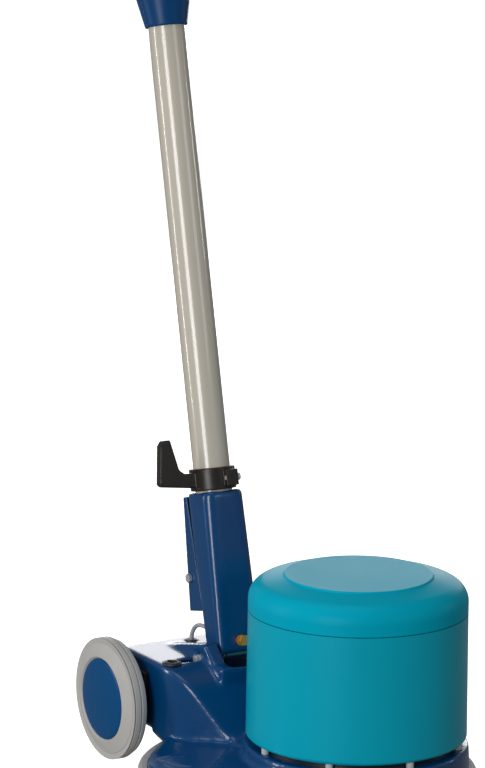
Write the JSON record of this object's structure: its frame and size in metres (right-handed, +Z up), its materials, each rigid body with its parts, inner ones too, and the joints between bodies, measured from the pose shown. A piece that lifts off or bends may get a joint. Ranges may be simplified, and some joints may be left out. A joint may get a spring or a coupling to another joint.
{
  "type": "floor burnisher",
  "caption": "Single-disc floor burnisher: round deck on a polishing pad, tall motor cover, two rear wheels, and a tilting tube handle with loop grips and switch levers.",
  "frame": {"origin": "on the floor under the brush axis, at the centre of the pad's underside", "axes": "+Z up, -Y the way the machine faces, handle and wheels on the +Y side, +X to the right when seen from the handle's far side"},
  "size_m": [0.4439, 0.7166, 1.1329],
  "materials": {
    "blue_enamel": "gloss blue enamel on cast aluminium",
    "black_enamel": "black enamel on die-cast aluminium",
    "teal_enamel": "satin turquoise powder coat",
    "grey_paint": "warm light grey paint on steel tube",
    "grey_tyre": "grey non-marking rubber",
    "grey_bumper": "grey rubber",
    "blue_plastic": "moulded blue plastic",
    "black_plastic": "moulded black plastic",
    "yellow_plastic": "moulded yellow plastic",
    "black_rubber": "soft black rubber",
    "lead_grey": "grey PVC sheath",
    "steel": "machined steel",
    "zinc": "bright zinc plated steel",
    "yellow_zinc": "yellow passivated zinc plate",
    "aluminium": "die-cast aluminium",
    "copper_windings": "varnished copper wire",
    "light_grey_plastic": "light grey moulded plastic",
    "pad_fibre": "non-woven polishing fibre"
  },
  "bodies": {
    "machine": {"deck": "blue_enamel", "bumper": "grey_bumper", "gear_case": "aluminium", "spindle_bearings": "steel", "motor_lower_shield": "black_enamel", "motor_housing": "aluminium", "motor_upper_shield": "aluminium", "stator_core": "steel", "stator_windings": "copper_windings", "motor_bearings": "steel", "capacitors": "light_grey_plastic", "motor_cover": "teal_enamel", "cover_lid": "teal_enamel", "cover_spacers": "light_grey_plastic", "axle": "zinc", "axle_clips": "steel", "axle_blocks": "black_plastic", "platform_grommets": "black_rubber", "pivot_bolt": "zinc", "tilt_drum": "steel", "motor_lead": "lead_grey", "lead_grommet": "black_rubber"},
    "brush": {"polishing_pad": "pad_fibre", "pad_driver": "black_plastic", "pad_lock": "black_plastic", "drive_hub": "aluminium", "output_spindle": "steel", "drive_gear": "steel"},
    "rotor_group": {"rotor": "steel", "drive_pinion": "steel", "cooling_fan": "black_plastic"},
    "wheel_left": {"wheel_rim_left": "black_plastic", "tyre_left": "grey_tyre", "hub_cap_left": "blue_plastic"},
    "wheel_right": {"wheel_rim_right": "black_plastic", "tyre_right": "grey_tyre", "hub_cap_right": "blue_plastic"},
    "handle": {"handle_bracket": "blue_enamel", "bracket_rear_cover": "blue_enamel", "rear_cover_bolt": "zinc", "pivot_bushes": "black_plastic", "adjuster_bolt": "yellow_zinc", "handle_tube": "grey_paint", "hook_clamp": "black_plastic", "clamp_screw": "zinc", "head_front": "blue_plastic", "head_rear": "blue_plastic", "grip_bars": "grey_paint", "hand_grips": "black_rubber", "lever_brackets": "zinc", "switch_block": "black_plastic", "mains_gland": "black_rubber", "lock_spring": "steel"},
    "tilt_lock": {"brake_shoe": "black_rubber", "lock_rod": "steel", "rod_collar": "steel"},
    "release_lever": {"release_lever": "black_plastic"},
    "switch_left": {"switch_lever_left": "black_plastic"},
    "switch_right": {"switch_lever_right": "black_plastic"},
    "lock_button": {"lock_button": "yellow_plastic"}
  },
  "joints": [
    {"name": "handle_tilt", "type": "hinge", "parent": "machine", "child": "handle", "pos_m": [0, 0.184, 0.1567], "axis": [-1, 0, 0], "range_deg": [-12.6, 27], "deforming": ["motor_lead"]},
    {"name": "disc_spin", "type": "hinge", "parent": "machine", "child": "brush", "pos_m": [0, 0, 0.03], "axis": [0, 0, 1], "continuous": true},
    {"name": "rotor_spin", "type": "hinge", "parent": "machine", "child": "rotor_group", "pos_m": [0.054, -0.03245, 0.15], "axis": [0, 0, 1], "continuous": true},
    {"name": "wheel_left_spin", "type": "hinge", "parent": "machine", "child": "wheel_left", "pos_m": [-0.15, 0.256, 0.098], "axis": [1, 0, 0], "continuous": true},
    {"name": "wheel_right_spin", "type": "hinge", "parent": "machine", "child": "wheel_right", "pos_m": [0.15, 0.256, 0.098], "axis": [1, 0, 0], "continuous": true},
    {"name": "release_pull", "type": "hinge", "parent": "handle", "child": "release_lever", "pos_m": [0, 0.40811, 1.04931], "axis": [-1, 0, 0], "range_deg": [0, 7.4], "stiffness_Nm_per_rad": 0.8, "springref_deg": -17.19},
    {"name": "rod_lift", "type": "slide", "parent": "handle", "child": "tilt_lock", "axis": [0, 0.2181, 0.9759], "range_m": [0, 0.0025], "stiffness_N_per_m": 20, "springref_m": 0.103, "deforming": ["lock_spring"]},
    {"name": "switch_left_press", "type": "hinge", "parent": "handle", "child": "switch_left", "pos_m": [-0.084, 0.42766, 1.06338], "axis": [0, 0.9759, -0.2181], "range_deg": [0, 8], "stiffness_Nm_per_rad": 0.8, "springref_deg": -8.59},
    {"name": "switch_right_press", "type": "hinge", "parent": "handle", "child": "switch_right", "pos_m": [0.084, 0.42766, 1.06338], "axis": [0, -0.9759, 0.2181], "range_deg": [0, 8], "stiffness_Nm_per_rad": 0.8, "springref_deg": -8.59},
    {"name": "lock_button_press", "type": "slide", "parent": "handle", "child": "lock_button", "axis": [0, -0.9759, 0.2181], "range_m": [0, 0.004], "stiffness_N_per_m": 800, "springref_m": -0.002}
  ],
  "couplings": [
    {"joint": "rotor_spin", "follows": "disc_spin", "ratio": -3.5},
    {"joint": "rod_lift", "follows": "release_pull", "m_per_rad": 0.0188}
  ]
}
